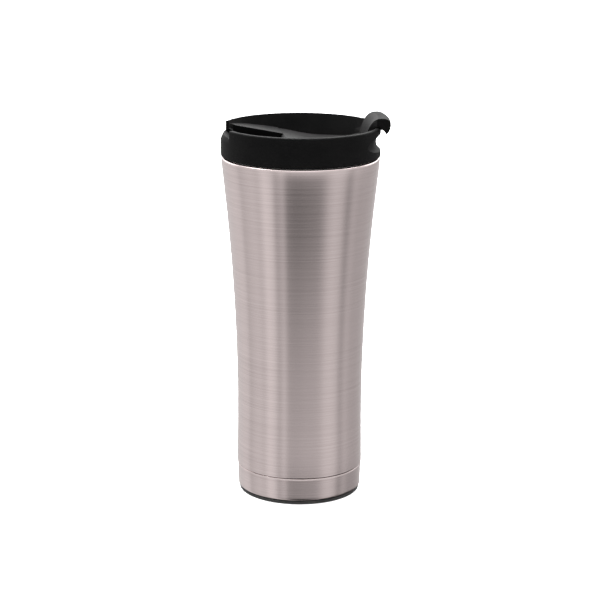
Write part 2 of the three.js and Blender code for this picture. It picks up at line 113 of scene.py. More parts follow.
def from_faces(name, points, faces):
    mesh = bpy.data.meshes.new(name)
    mesh.from_pydata(points, [], faces)
    mesh.update()
    build = bmesh.new()
    build.from_mesh(mesh)
    bmesh.ops.remove_doubles(build, verts=build.verts, dist=1e-7)
    bmesh.ops.recalc_face_normals(build, faces=build.faces)
    build.to_mesh(mesh)
    build.free()
    return new_object(name, mesh)


def turned(name, profile, x=0.0, steps=ROUND_STEPS):
    """A closed profile of (radius, z) points turned about the vertical line through x."""
    points = []
    faces = []
    count = len(profile)
    for i in range(steps):
        angle = 2 * math.pi * i / steps
        for radius, z in profile:
            points.append((x + radius * math.cos(angle), radius * math.sin(angle), z))
    for i in range(steps):
        a = i * count
        b = (i + 1) % steps * count
        for j in range(count):
            k = (j + 1) % count
            if profile[j][0] == 0 and profile[k][0] == 0:
                continue
            corners = [a + j, b + j, b + k, a + k]
            if profile[j][0] == 0:
                corners = [a + j, b + k, a + k]
            if profile[k][0] == 0:
                corners = [a + j, b + j, a + k]
            faces.append(corners)
    return from_faces(name, points, faces)


def cylinder(radius, bottom, top, x=0.0, steps=ROUND_STEPS):
    return turned("cutter", [(0, bottom), (radius, bottom), (radius, top), (0, top)], x, steps)


def tube(bore, radius, bottom, top, x=0.0, steps=ROUND_STEPS):
    return turned("cutter", [(bore, bottom), (radius, bottom), (radius, top), (bore, top)], x, steps)


def loft(name, rows):
    """A closed body through rows of points: each row is a closed outline, the end rows are capped."""
    count = len(rows[0])
    points = [p for row in rows for p in row]
    faces = [list(range(count)), [len(points) - 1 - i for i in range(count)]]
    for i in range(len(rows) - 1):
        for j in range(count):
            k = (j + 1) % count
            faces.append([i * count + j, i * count + k, (i + 1) * count + k, (i + 1) * count + j])
    return from_faces(name, points, faces)


def slab(outline, from_y, to_y):
    """An outline of (x, z) points given a thickness along Y."""
    return loft("cutter", [[(x, y, z) for x, z in outline] for y in (from_y, to_y)])


def block(x0, x1, y0, y1, z0, z1):
    return slab([(x0, z0), (x1, z0), (x1, z1), (x0, z1)], y0, y1)


def oval(x, half_length, half_width, bottom, top, steps=32):
    """An upright block with round ends, long along X."""
    straight = half_length - half_width
    rim = []
    for i in range(steps):
        angle = 2 * math.pi * (i + 0.5) / steps
        side = math.copysign(straight, math.cos(angle))
        rim.append((x + side + half_width * math.cos(angle), half_width * math.sin(angle)))
    return loft("cutter", [[(px, py, z) for px, py in rim] for z in (bottom, top)])


def rod(radius, from_y, to_y, steps=64):
    """A cylinder along the cover's pivot."""
    angles = [2 * math.pi * i / steps for i in range(steps)]
    outline = [(PIVOT.x + radius * math.cos(a), PIVOT.z + radius * math.sin(a)) for a in angles]
    return slab(outline, from_y, to_y)


def ring_solid(x, z, ring_radius, radius, steps=320, around=64):
    """A torus about the vertical line through x."""
    profile = []
    for i in range(around):
        angle = 2 * math.pi * i / around
        profile.append((ring_radius + radius * math.cos(angle), z + radius * math.sin(angle)))
    return turned("cutter", profile, x, steps)


def apply_modifiers(piece):
    graph = bpy.context.evaluated_depsgraph_get()
    mesh = bpy.data.meshes.new_from_object(piece.evaluated_get(graph))
    piece.modifiers.clear()
    piece.data = mesh


def combine(piece, tool, operation):
    step = piece.modifiers.new("combine", "BOOLEAN")
    step.operation = operation
    step.solver = "MANIFOLD"
    step.object = tool
    apply_modifiers(piece)
    bpy.data.objects.remove(tool)
    return piece


def cut(piece, *tools):
    for tool in tools:
        combine(piece, tool, "DIFFERENCE")
    return piece


def join(piece, *tools):
    for tool in tools:
        combine(piece, tool, "UNION")
    return piece


def keep(piece, tool):
    return combine(piece, tool, "INTERSECT")


def bezier(a, b, c, d, steps):
    points = []
    for i in range(steps + 1):
        t = i / steps
        s = 1 - t
        weights = (s**3, 3 * s * s * t, 3 * s * t * t, t**3)
        points.append(tuple(sum(w * p[k] for w, p in zip(weights, (a, b, c, d))) for k in (0, 1)))
    return points


def arc(cx, cz, radius, from_deg, to_deg, steps=8):
    points = []
    for i in range(steps + 1):
        angle = math.radians(from_deg + (to_deg - from_deg) * i / steps)
        points.append((cx + radius * math.cos(angle), cz + radius * math.sin(angle)))
    return points


def sheet_profile(path, thickness):
    """The closed outline of sheet metal that follows a path of (radius, z) points."""
    inner = []
    for i, (r, z) in enumerate(path):
        r0, z0 = path[max(i - 1, 0)]
        r1, z1 = path[min(i + 1, len(path) - 1)]
        length = math.hypot(r1 - r0, z1 - z0)
        nr, nz = -(z1 - z0) / length * thickness, (r1 - r0) / length * thickness
        inner.append((0, z + nz) if r == 0 else (r + nr, z + nz))
    return path + inner[::-1]


def smooth(piece, angle):
    mesh = piece.data
    mesh.shade_smooth()
    mesh.set_sharp_from_angle(angle=math.radians(angle))


def soften(piece, width=EDGE):
    """Merges flat faces, rounds the hard edges and shades the rest smoothly."""
    build = bmesh.new()
    build.from_mesh(piece.data)
    bmesh.ops.remove_doubles(build, verts=build.verts, dist=2e-6)
    bmesh.ops.dissolve_limit(
        build,
        angle_limit=math.radians(0.4),
        verts=build.verts,
        edges=build.edges,
        use_dissolve_boundaries=False,
    )
    build.to_mesh(piece.data)
    build.free()
    bevel = piece.modifiers.new("edges", "BEVEL")
    bevel.width = width
    bevel.segments = 3
    bevel.limit_method = "ANGLE"
    bevel.angle_limit = math.radians(32)
    bevel.harden_normals = False
    apply_modifiers(piece)
    smooth(piece, 40)
    weighted = piece.modifiers.new("normals", "WEIGHTED_NORMAL")
    weighted.keep_sharp = True
    apply_modifiers(piece)


# ---- Materials ----------------------------------------------------------------------------------

class Nodes:
    """A node tree, with short calls for the nodes that this script uses."""

    def __init__(self, tree):
        self.tree = tree

    def node(self, kind, **settings):
        made = self.tree.nodes.new(kind)
        for key, value in settings.items():
            setattr(made, key, value)
        return made

    def link(self, source, target):
        self.tree.links.new(source, target)

    def feed(self, socket, value):
        """Sets a socket to a number or a colour, or links another node's output to it."""
        if isinstance(value, (int, float, tuple)):
            socket.default_value = value
        else:
            self.link(value, socket)

    def math(self, operation, a, b=0.0):
        made = self.node("ShaderNodeMath", operation=operation)
        self.feed(made.inputs[0], a)
        self.feed(made.inputs[1], b)
        return made.outputs[0]

    def spread(self, value, low, high, from_low=0.3, from_high=0.7, kind="LINEAR"):
        made = self.node("ShaderNodeMapRange", interpolation_type=kind)
        made.inputs["From Min"].default_value = from_low
        made.inputs["From Max"].default_value = from_high
        made.inputs["To Min"].default_value = low
        made.inputs["To Max"].default_value = high
        self.link(value, made.inputs["Value"])
        return made.outputs["Result"]

    def fade(self, value, start, end):
        """0 up to start, 1 from end on, and smooth between them."""
        return self.spread(value, 0, 1, start, end, "SMOOTHSTEP")

    def mix(self, factor, low, high):
        made = self.node("ShaderNodeMix", data_type="RGBA")
        self.feed(made.inputs[0], factor)
        self.feed(made.inputs[6], low)
        self.feed(made.inputs[7], high)
        return made.outputs[2]


class Look(Nodes):
    """The node tree of a new material."""

    def __init__(self, name):
        self.material = bpy.data.materials.new(name)
        self.material.use_nodes = True
        super().__init__(self.material.node_tree)
        self.shader = self.tree.nodes["Principled BSDF"]

    def set(self, **values):
        for key, value in values.items():
            self.shader.inputs[key.replace("_", " ")].default_value = value

    def colour(self, source):
        self.link(source, self.shader.inputs["Base Color"])

    def roughness(self, source):
        self.link(source, self.shader.inputs["Roughness"])

    def place(self, scale=(1, 1, 1)):
        """Object coordinates, stretched."""
        coords = self.node("ShaderNodeTexCoord")
        stretch = self.node("ShaderNodeMapping")
        stretch.inputs["Scale"].default_value = scale
        self.link(coords.outputs["Object"], stretch.inputs["Vector"])
        return stretch.outputs["Vector"]

    def noise(self, vector, scale, detail=4.0, roughness=0.6):
        made = self.node("ShaderNodeTexNoise")
        made.inputs["Scale"].default_value = scale
        made.inputs["Detail"].default_value = detail
        made.inputs["Roughness"].default_value = roughness
        self.link(vector, made.inputs["Vector"])
        return made.outputs["Fac"]

    def ramp(self, value, low, high):
        return self.mix(value, (*low, 1), (*high, 1))

    def in_the_bowl(self):
        """1 inside the lid's ring and above its floor, 0 outside the ring and in the trough."""
        apart = self.node("ShaderNodeSeparateXYZ")
        self.link(self.place(), apart.inputs[0])
        x, y, z = (apart.outputs[axis] for axis in "XYZ")
        squares = self.math("ADD", self.math("MULTIPLY", x, x), self.math("MULTIPLY", y, y))
        within = self.spread(self.math("SQRT", squares), 1, 0, RING_BORE + 0.2 * MM, RING_BORE + 0.6 * MM)
        above = self.spread(z, 0, 1, PIVOT.z - MM, PIVOT.z)
        left = self.spread(x, 1, 0, PIVOT.x - 4 * MM, PIVOT.x - 3 * MM)
        side = self.math("ABSOLUTE", y)
        middle = self.spread(side, 1, 0, TROUGH_HALF + 0.2 * MM, TROUGH_HALF + 0.6 * MM)
        beside_trough = self.math("SUBTRACT", 1, self.math("MULTIPLY", left, middle))
        return self.math("MULTIPLY", self.math("MULTIPLY", within, above), beside_trough)

    def bump(self, height, distance, strength=1.0):
        made = self.node("ShaderNodeBump")
        made.inputs["Distance"].default_value = distance
        made.inputs["Strength"].default_value = strength
        self.link(height, made.inputs["Height"])
        self.link(made.outputs["Normal"], self.shader.inputs["Normal"])


def brushed_steel():
    """Stainless steel brushed round the mug: fine level lines, streaks and a warm tint."""
    look = Look("brushed_steel")
    fine = look.noise(look.place((14, 14, 2600)), 1.0, 3.0, 0.7)
    broad = look.noise(look.place((9, 9, 800)), 1.0, 4.0, 0.6)
    cloudy = look.noise(look.place((16, 16, 9)), 1.0, 3.0, 0.5)
    lines = look.math("ADD", look.math("MULTIPLY", fine, 0.7), look.math("MULTIPLY", broad, 0.3))
    look.colour(look.ramp(look.spread(lines, 0, 1), (0.655, 0.56, 0.55), (0.79, 0.68, 0.67)))
    look.roughness(look.math("ADD", look.spread(lines, 0.15, 0.22), look.spread(cloudy, -0.02, 0.02)))
    look.set(Metallic=1.0, Anisotropic=0.5, Anisotropic_Rotation=0.25)
    tangent = look.node("ShaderNodeTangent", direction_type="RADIAL", axis="Z")
    look.link(tangent.outputs["Tangent"], look.shader.inputs["Tangent"])
    look.bump(lines, 0.000012, 0.6)
    return look.material


def liner_steel():
    """Plain satin stainless steel of the parts inside."""
    look = Look("liner_steel")
    fine = look.noise(look.place((30, 30, 900)), 1.0, 3.0, 0.6)
    spots = look.noise(look.place((60, 60, 60)), 1.0, 4.0, 0.6)
    look.colour(look.ramp(spots, (0.52, 0.52, 0.51), (0.62, 0.62, 0.61)))
    look.roughness(look.spread(fine, 0.24, 0.38))
    look.set(Metallic=1.0)
    look.bump(fine, 0.00002, 0.4)
    return look.material


def moulded_black():
    """Matt black moulded plastic: fine spark-eroded grain, handling marks, and painted light inside the bowl,
    where the colour is lighter.
    """
    look = Look("moulded_black")
    grain = look.noise(look.place(), 5200.0, 2.0, 0.5)
    handled = look.noise(look.place(), 85.0, 5.0, 0.65)
    flow = look.noise(look.place((30, 30, 110)), 1.0, 3.0, 0.5)
    tint = look.math("ADD", look.math("MULTIPLY", handled, 0.5), look.math("MULTIPLY", flow, 0.5))
    tint = look.spread(tint, 0, 1)
    outside_tone = look.ramp(tint, (0.0014, 0.0014, 0.0015), (0.0030, 0.0029, 0.0029))
    # Painted light: inside the bowl the base colour is several times lighter, standing in for light bouncing
    # round the bowl.
    painted_bowl_light = look.ramp(tint, (0.0068, 0.0068, 0.0069), (0.0130, 0.0126, 0.0126))
    look.colour(look.mix(look.in_the_bowl(), outside_tone, painted_bowl_light))
    look.roughness(look.math("ADD", look.spread(handled, 0.50, 0.60), look.spread(grain, -0.03, 0.03)))
    look.set(IOR=1.13)
    look.bump(grain, 0.00002, 0.5)
    return look.material


def rubber(name, dark, light, scale):
    """Soft black rubber with a dusty, uneven surface."""
    look = Look(name)
    dust = look.noise(look.place(), scale, 6.0, 0.7)
    grain = look.noise(look.place(), 3800.0, 2.0, 0.5)
    look.colour(look.ramp(look.spread(dust, 0, 1), dark, light))
    look.roughness(look.spread(dust, 0.62, 0.82))
    look.bump(grain, 0.00003, 0.5)
    return look.material


def crumpled_foil():
    """Thin copper-coloured foil with a net of creases."""
    look = Look("crumpled_foil")
    creases = look.node("ShaderNodeTexVoronoi", feature="DISTANCE_TO_EDGE")
    creases.inputs["Scale"].default_value = 140
    look.link(look.place(), creases.inputs["Vector"])
    tint = look.noise(look.place(), 60.0)
    look.colour(look.ramp(tint, (0.60, 0.36, 0.26), (0.78, 0.52, 0.40)))
    look.roughness(look.spread(tint, 0.18, 0.34))
    look.set(Metallic=1.0)
    look.bump(creases.outputs["Distance"], 0.0002, 0.5)
    return look.material


def sintered():
    """Grainy pressed metal powder of the getter."""
    look = Look("sintered_getter")
    grains = look.noise(look.place(), 1800.0, 4.0, 0.7)
    look.colour(look.ramp(grains, (0.10, 0.10, 0.105), (0.24, 0.24, 0.25)))
    look.roughness(look.spread(grains, 0.55, 0.8))
    look.set(Metallic=0.6)
    look.bump(grains, 0.00008, 0.7)
    return look.material


def fused_glass():
    """Dark green glass of the bead that seals the vacuum."""
    look = Look("fused_glass")
    swirl = look.noise(look.place(), 700.0, 3.0, 0.5)
    look.colour(look.ramp(swirl, (0.10, 0.15, 0.14), (0.20, 0.27, 0.25)))
    look.roughness(look.spread(swirl, 0.08, 0.18))
    return look.material


STEEL_LOOK = brushed_steel()
LINER_LOOK = liner_steel()
PLASTIC_LOOK = moulded_black()
SILICONE_LOOK = rubber("soft_silicone", (0.006, 0.006, 0.006), (0.016, 0.016, 0.016), 90.0)
FOOT_LOOK = rubber("foot_rubber", (0.008, 0.008, 0.008), (0.024, 0.023, 0.022), 60.0)


def finish_piece(piece, body, slot, look, *nodes):
    piece.data.materials.clear()
    piece.data.materials.append(look)
    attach(piece, body)
    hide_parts(*nodes)


# ---- Steel body ---------------------------------------------------------------------------------

WAIST_R = 33.25 * MM
WAIST_Z = 45 * MM
LIP_ROUND = 1 * MM


def flare(steps):
    """Outside of the flared wall, from the waist up to the lip."""
    high = (LIP_R, LIP_Z - LIP_ROUND)
    return bezier((WAIST_R, WAIST_Z), (WAIST_R, WAIST_Z + 79 * MM), (LIP_R + MM, LIP_Z - 2 * MM), high, steps)


def steel_wall():
    neck_r = WAIST_R - 0.9 * MM
    foot_r = WAIST_R + 0.27 * MM
    path = [(neck_r, shell_low.z), (neck_r, SEAM_Z - 0.2 * MM)]
    path += [(foot_r - 0.35 * MM, SEAM_Z + 0.05 * MM)]
    path += arc(foot_r - 0.3 * MM, SEAM_Z + 0.4 * MM, 0.3 * MM, -60, 0, 4)
    path += [(foot_r, SEAM_Z + 0.7 * MM)]
    path += bezier((foot_r, SEAM_Z + 3 * MM), (foot_r, SEAM_Z + 12 * MM), (WAIST_R, WAIST_Z - 12 * MM),
                   (WAIST_R, WAIST_Z), 10)[:-1]
    path += flare(56)
    path += arc(LIP_R - LIP_ROUND, LIP_Z - LIP_ROUND, LIP_ROUND, 8, 80, 8)
    path += [(LIP_R - 1.1 * MM, LIP_Z - 0.01 * MM)]  # level, up to the liner's edge
    wall = turned("steel_wall", sheet_profile(path, STEEL))
    smooth(wall, 50)
    finish_piece(wall, "mug", "brushed_steel", STEEL_LOOK, "outer_shell")


def steel_base():
    sole = cup_low.z
    recess = 1.2 * MM
    recess_r = 27.1 * MM
    corner = 1.2 * MM
    low_r = WAIST_R - 0.3 * MM
    path = [(0, sole + recess), (recess_r - recess, sole + recess), (recess_r, sole)]
    path += arc(low_r - corner, sole + corner, corner, -90, 0, 10)
    path += [(low_r, sole + corner + MM), (WAIST_R, cup_high.z - 0.9 * MM)]
    path += [(WAIST_R, cup_high.z - 0.08 * MM), (WAIST_R - 0.08 * MM, cup_high.z)]
    base = turned("steel_base", sheet_profile(path, STEEL))
    smooth(base, 50)
    finish_piece(base, "mug", "brushed_steel", STEEL_LOOK, "base_cup")


def rubber_foot():
    r = foot_high.y
    top = foot_high.z
    corner = 0.9 * MM
    ledge = 1.9 * MM
    boss_r = 26.5 * MM
    profile = [(0, foot_low.z), (r - 4 * MM, foot_low.z)]
    profile += arc(r - corner, foot_low.z + corner, corner, -90, 0, 10)
    profile += [(r, ledge), (boss_r, ledge), (boss_r - 1.2 * MM, top), (0, top)]
    foot = turned("rubber_foot", profile)
    smooth(foot, 50)
    finish_piece(foot, "mug", "foot_rubber", FOOT_LOOK, "foot_pad")


# ---- Lid ----------------------------------------------------------------------------------------

RAMP_X = -8 * MM
RAMP_Z = RIM_Z - 6.7 * MM
RAMP_SLOPE = -0.187
SCOOP_X = -14.5 * MM
SCOOP_Z = RIM_Z - 7.95 * MM
SCOOP_RING = 59.4 * MM
SCOOP_R = 5.7 * MM
COVER_END_R = 4.8 * MM
SPOUT_CREST = RIM_Z - 3.8 * MM


def ramp_z(x):
    """Height of the ramps beside the trough: they climb towards the spout."""
    return RAMP_Z + RAMP_SLOPE * (x - RAMP_X)


def crown(y):
    """How far the lid's top lies below its middle line."""
    return CROWN * min(1.0, (y / RING_BORE) ** 2)


def scoop(extra=0.0):
    """The round hollow for a fingertip, bent round an upright axis."""
    return ring_solid(SCOOP_X, SCOOP_Z, SCOOP_RING, SCOOP_R + extra)


def angle_at(z, radius):
    """Elevation in degrees, seen from the pivot, of the point at height z on a circle round it."""
    return math.degrees(math.asin((z - PIVOT.z) / radius))


def crowned(section, slices=28, half=RING_R):
    """Lofts a section along Y. section(drop) gives the (x, z) outline whose top is lower by drop."""
    rows = []
    for i in range(slices + 1):
        y = half * (2 * i / slices - 1)
        rows.append([(x, y, z) for x, z in section(crown(y))])
    return loft("cutter", rows)


def lid_cavity():
    """All that is hollow inside the ring: above the ramps, and down to the floor under the cover."""
    end_r = COVER_END_R + 0.4 * MM
    low = angle_at(DECK_TOP, end_r)
    ramp_xs = [-FAR] + [x * MM for x in range(-44, -8, 4)]

    def section(drop):
        edge_x = RAMP_X
        for _ in range(6):  # settles on the point where the ramp meets the hollow for the cover's end
            edge_z = ramp_z(edge_x) - drop
            edge_x = PIVOT.x - math.sqrt(end_r**2 - (edge_z - PIVOT.z) ** 2)
        ramp = [(x, ramp_z(x) - drop) for x in ramp_xs]
        hollow = arc(PIVOT.x, PIVOT.z, end_r, 180 - angle_at(edge_z, end_r), 180 - low, 16)
        return ramp + hollow + [(FAR, DECK_TOP), (FAR, OPEN_Z), (-FAR, OPEN_Z)]

    bore = cylinder(RING_BORE, RING_Z, OPEN_Z)
    cut(bore, scoop(PLASTIC))
    return keep(crowned(section), bore)


def trough_cut():
    """The drinking trough, and the notch that it leaves through."""
    crest_x = -RING_BORE + 1.4 * MM
    floor_x = -27 * MM
    bend = bezier(
        (floor_x - 3 * MM, DECK_TOP + MM),
        (floor_x - 1.8 * MM, DECK_TOP),
        (floor_x - 1.2 * MM, DECK_TOP),
        (floor_x, DECK_TOP),
        6,
    )
    outline = [(crest_x, SPOUT_CREST - 0.8 * MM)] + bend
    outline += [(PIVOT.x, DECK_TOP), (PIVOT.x, OPEN_Z), (crest_x, OPEN_Z)]
    channel = slab(outline, -TROUGH_HALF, TROUGH_HALF)
    inner_r = RING_BORE - 2.5 * MM
    outer_r = RING_R + MM
    notch = turned("cutter", [
        (inner_r, SPOUT_CREST - 1.5 * MM),
        (RING_BORE - 0.4 * MM, SPOUT_CREST),
        (RING_BORE + 0.6 * MM, SPOUT_CREST - 0.4 * MM),
        (outer_r, SPOUT_CREST - 5.2 * MM),
        (outer_r, OPEN_Z),
        (inner_r, OPEN_Z),
    ])
    keep(notch, block(-FAR, 0, -SPOUT_HALF, SPOUT_HALF, DECK_TOP, OPEN_Z))
    return join(channel, notch)


def core_pockets():
    """Hollows under the ramps, open below, that keep the moulded walls even."""
    right = RAMP_X - 4.6 * MM
    low = RING_Z - MM
    roof = PLASTIC + CROWN
    outline = [(-FAR, low), (right, low), (right, ramp_z(right) - roof), (-FAR, ramp_z(-FAR) - roof)]
    pockets = slab(outline, -FAR, FAR)
    inner = TROUGH_HALF + PLASTIC
    cut(pockets, block(-2 * FAR, FAR, -inner, inner, 0, 2 * RIM_Z))
    return keep(pockets, cylinder(RING_BORE - PLASTIC, RING_Z - 2 * MM, RIM_Z))


def hinge_lug(from_y, to_y):
    """One of the two lugs on the lid's floor that hold the hinge pin."""
    foot = block(PIVOT.x - LUG_R, PIVOT.x + LUG_R, from_y, to_y, DECK_BOTTOM + 0.5 * MM, PIVOT.z)
    return join(foot, rod(LUG_R, from_y, to_y))


def lid_ring():
    rim_round = 0.75 * MM
    profile = [(0, RING_Z), (RING_R - 0.35 * MM, RING_Z), (RING_R - 0.1 * MM, RING_Z + 0.1 * MM)]
    profile += [(RING_R, RING_Z + 0.35 * MM)]
    profile += arc(RING_R - rim_round, RIM_Z - rim_round, rim_round, 0, 90, 8)
    profile += [(0, RIM_Z)]
    lid = turned("lid_ring", profile)
    cut(lid, lid_cavity(), trough_cut(), core_pockets())
    cut(lid, cylinder(RING_BORE - 0.1 * MM, RING_Z - MM, DECK_BOTTOM))
    top = DECK_BOTTOM + 0.4 * MM
    join(lid, tube(WELL_BORE, WELL_TUBE, SKIRT_Z, top, WELL_X, 96))
    join(lid, cylinder(VENT_TUBE_R, SKIRT_Z, top, VENT_X, 48))
    join(lid, hinge_lug(*LUG), hinge_lug(-LUG[1], -LUG[0]))
    cut(lid, rod(PIN_R + 0.06 * MM, -LUG[1] - MM, LUG[1] + MM))
    cut(lid, oval(SLOT_X, SLOT_HALF_LENGTH, SLOT_HALF_WIDTH, DECK_BOTTOM - MM, DECK_TOP + MM))
    cut(lid, cylinder(VENT_BORE_R, SKIRT_Z - MM, DECK_TOP + MM, VENT_X, 48))
    cut(lid, scoop())
    soften(lid)
    finish_piece(lid, "lid", "black_plastic", PLASTIC_LOOK, "lid_body")


def gasket():
    """The silicone ring: two sealing ribs, and the flange that shows between the lid and the steel."""
    r = gasket_high.y
    bore = 36.4 * MM
    sleeve = 37.3 * MM
    flange = LIP_Z + 0.3 * MM
    top = gasket_high.z
    profile = [(bore, gasket_low.z), (sleeve - 0.4 * MM, gasket_low.z), (sleeve, gasket_low.z + 0.6 * MM)]
    for rib in (1, 2):
        z = gasket_low.z + (0.6 + 0.8 * rib) * MM
        profile += [(sleeve, z - 0.3 * MM), (sleeve + 0.2 * MM, z), (sleeve, z + 0.3 * MM)]
    profile += [(sleeve, flange), (r - 0.2 * MM, flange), (r, flange + 0.2 * MM)]
    profile += [(r, top - 0.2 * MM), (r - 0.2 * MM, top), (bore, top)]
    ring = turned("silicone_gasket", profile)
    smooth(ring, 35)
    finish_piece(ring, "seal", "black_silicone", SILICONE_LOOK, "mouth_gasket")


# ---- Flip cover ---------------------------------------------------------------------------------

DISH_X = 14 * MM
DISH_Z = RIM_Z - 10.4 * MM
COVER = 2 * MM
CLIMB_X = 35 * MM  # where the dish's wall turns up to the ring
CLIMB_Z = RIM_Z - 4.6 * MM
PLATE_TOP = RIM_Z - 0.4 * MM


def cover_plate():
    """The dish, from its round end at the pivot to the wall that climbs to the ring."""
    end_z = PIVOT.z + 0.5 * MM
    low = angle_at(end_z, COVER_END_R)
    far_z = RIM_Z - 8.1 * MM
    dish_right = DISH_X + 11 * MM
    under_z = DISH_Z - COVER
    bottom = (DISH_X, under_z)
    near_end = (-4 * MM, RIM_Z - 9 * MM)
    under = [(FAR, far_z)]
    under += bezier((CLIMB_X, far_z), (CLIMB_X - 4 * MM, under_z), (dish_right, under_z), bottom, 10)
    under += bezier(bottom, (DISH_X - 8 * MM, under_z), (2 * MM, RIM_Z - 10.4 * MM), near_end, 8)[1:]
    under += [(PIVOT.x - 0.4 * COVER_END_R, RIM_Z - 8.9 * MM), (PIVOT.x - 0.68 * COVER_END_R, end_z)]

    def section(drop):
        edge_z = PIVOT.z + 4.2 * MM - drop
        edge = angle_at(edge_z, COVER_END_R)
        start = (PIVOT.x - COVER_END_R * math.cos(math.radians(edge)), edge_z)
        dish_z = DISH_Z - drop
        dish = (DISH_X, dish_z)
        climb = (CLIMB_X, CLIMB_Z - drop)
        top = bezier(start, (-2 * MM, RIM_Z - 7.8 * MM - drop), (DISH_X - 9 * MM, dish_z), dish, 14)
        top += bezier(dish, (dish_right, dish_z), (CLIMB_X - 3 * MM, dish_z), climb, 14)[1:]
        top += [(CLIMB_X + 3.2 * MM, PLATE_TOP), (FAR, PLATE_TOP)]
        return top + under + arc(PIVOT.x, PIVOT.z, COVER_END_R, 180 - low, 180 - edge, 12)[:-1]

    return crowned(section)


def tab():
    """The finger tab: it climbs out of the dish, arches over the rim and hooks down outside it."""
    root_x = 33.4 * MM
    root_z = RIM_Z - 6.6 * MM
    top_x = 42.2 * MM
    tip_x = 44.5 * MM
    tip_z = RIM_Z - 3.4 * MM
    under_z = tip_z + 2.4 * MM
    root = (root_x, root_z)
    top = (top_x, TAB_TOP)
    outside = (TAB_OUT, TAB_TOP - 3.8 * MM)
    tip = (tip_x, tip_z)
    climb = bezier(root, (root_x + 1.8 * MM, TAB_TOP - 6 * MM), (top_x - 6.2 * MM, TAB_TOP), top, 20)
    arch = bezier(top, (top_x + 3.4 * MM, TAB_TOP), (TAB_OUT, TAB_TOP - 1.5 * MM), outside, 16)
    hook = bezier(outside, (TAB_OUT, tip_z + 2.6 * MM), (tip_x + 1.3 * MM, tip_z + 0.8 * MM), tip, 10)
    under = [(tip_x - MM, tip_z + 1.5 * MM), (tip_x - 2 * MM, under_z), (RING_BORE, under_z)]
    outline = climb + arch[1:] + hook[1:] + under + [(root_x + 3 * MM, root_z)]
    hoop = turned("cutter", [(x - TAB_AXIS_X, z) for x, z in outline], TAB_AXIS_X, 720)
    return keep(hoop, block(0, FAR, -TAB_HALF, TAB_HALF, RING_Z, TAB_TOP + MM))


def valve_arm():
    """Lever from the pivot into the drink slot, with the headed stem that carries the plug."""
    half = 2.5 * MM
    left = SLOT_X - 2 * MM
    top = RIM_Z - 8.8 * MM
    foot = RIM_Z - 12.4 * MM
    outline = [
        (PIVOT.x, RIM_Z - 8.2 * MM),
        (PIVOT.x - 4 * MM, top),
        (left + 1.5 * MM, top - 0.4 * MM),
        (left, top - 2 * MM),
        (left, foot),
        (SLOT_X + 2 * MM, foot),
        (SLOT_X + 3.4 * MM, RIM_Z - 10.7 * MM),
        (PIVOT.x - 3.5 * MM, RIM_Z - 10.2 * MM),
        (PIVOT.x, RIM_Z - 9.4 * MM),
    ]
    arm = slab(outline, -half, half)
    stem_x = SLOT_X + 0.2 * MM
    stem_r = 2 * MM
    head_r = 3.4 * MM
    join(arm, cylinder(stem_r, plug_low.z - 0.8 * MM, RIM_Z - 11.6 * MM, stem_x, 48))
    join(arm, cylinder(head_r, plug_low.z - 1.5 * MM, plug_low.z - 0.3 * MM, stem_x, 48))
    return arm


def cover():
    piece = cover_plate()
    piece.name = "cover_with_tab"
    keep(piece, cylinder(RING_BORE - COVER_GAP, DECK_TOP, PLATE_TOP))
    hook = tab()
    cut(hook, tube(RING_BORE - COVER_GAP, RING_R + TAB_GAP, RING_Z - MM, RIM_Z + TAB_GAP))
    join(piece, hook)
    cut(piece, keep(scoop(PLASTIC + COVER_GAP), cylinder(RING_BORE, RING_Z, RIM_Z)))
    left = PIVOT.x - LUG_R
    right = PIVOT.x + LUG_R
    join(piece, block(left, right, -KNUCKLE_HALF, KNUCKLE_HALF, PIVOT.z, RIM_Z - 8.4 * MM))
    join(piece, rod(LUG_R, -KNUCKLE_HALF, KNUCKLE_HALF))
    join(piece, valve_arm())
    lug_room = LUG_R + 0.35 * MM
    inner = LUG[0] - 0.4 * MM
    outer = LUG[1] + 0.4 * MM
    cut(piece, rod(lug_room, inner, outer), rod(lug_room, -outer, -inner))
    cut(piece, cylinder(VENT_PAD_ROOM_R, DECK_TOP, DECK_TOP + 1.6 * MM, VENT_X, 48))
    cut(piece, rod(PIN_R + 0.08 * MM, -FAR, FAR))
    soften(piece, 0.4 * MM)
    finish_piece(piece, "cover", "black_plastic", PLASTIC_LOOK, "flip_cover")


# ---- CAD nodes that stay, with their finishes ---------------------------------------------------

def dress_cad_nodes():
    foil = crumpled_foil()
    getter = sintered()
    glass = fused_glass()
    looks = {
        "inner_liner": LINER_LOOK,
        "vacuum_bottom": LINER_LOOK,
        "getter_bracket": LINER_LOOK,
        "hinge_pin": LINER_LOOK,
        "reflective_foil": foil,
        "getter_pellet": getter,
        "seal_bead": glass,
        "lid_base": PLASTIC_LOOK,
        "well_seal": SILICONE_LOOK,
        "valve_plug": SILICONE_LOOK,
        "vent_plug": SILICONE_LOOK,
    }
    for name, look in looks.items():
        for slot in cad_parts[name].material_slots:
            slot.material = look


# ---- Studio -------------------------------------------------------------------------------------

CAMERA_AZIMUTH = -5.0
CAMERA_DISTANCE = 1058.8 * MM
CAMERA_HEIGHT = 373.3 * MM
CAMERA_PITCH = 14.29
CAMERA_ROLL = 0.25
CAMERA_LENS = 123.3

# Brightness of the studio's upright panels, by direction in degrees from the camera (left is negative).
PANELS = [
    (-180, 0.50), (-157, 0.46), (-123, 0.50), (-110, 0.49), (-102, 0.40), (-92, 0.46), (-80, 0.485),
    (-68, 0.45), (-57, 0.57), (-47, 0.53), (-37, 0.39), (-28, 0.52), (-18, 0.39), (0, 0.41), (10, 0.43),
    (28, 0.44), (37, 0.45), (47, 0.51), (57, 0.52), (68, 0.50), (80, 0.35), (92, 0.43), (106, 0.37),
    (123, 0.34), (147, 0.36), (160, 0.44), (180, 0.50),
]
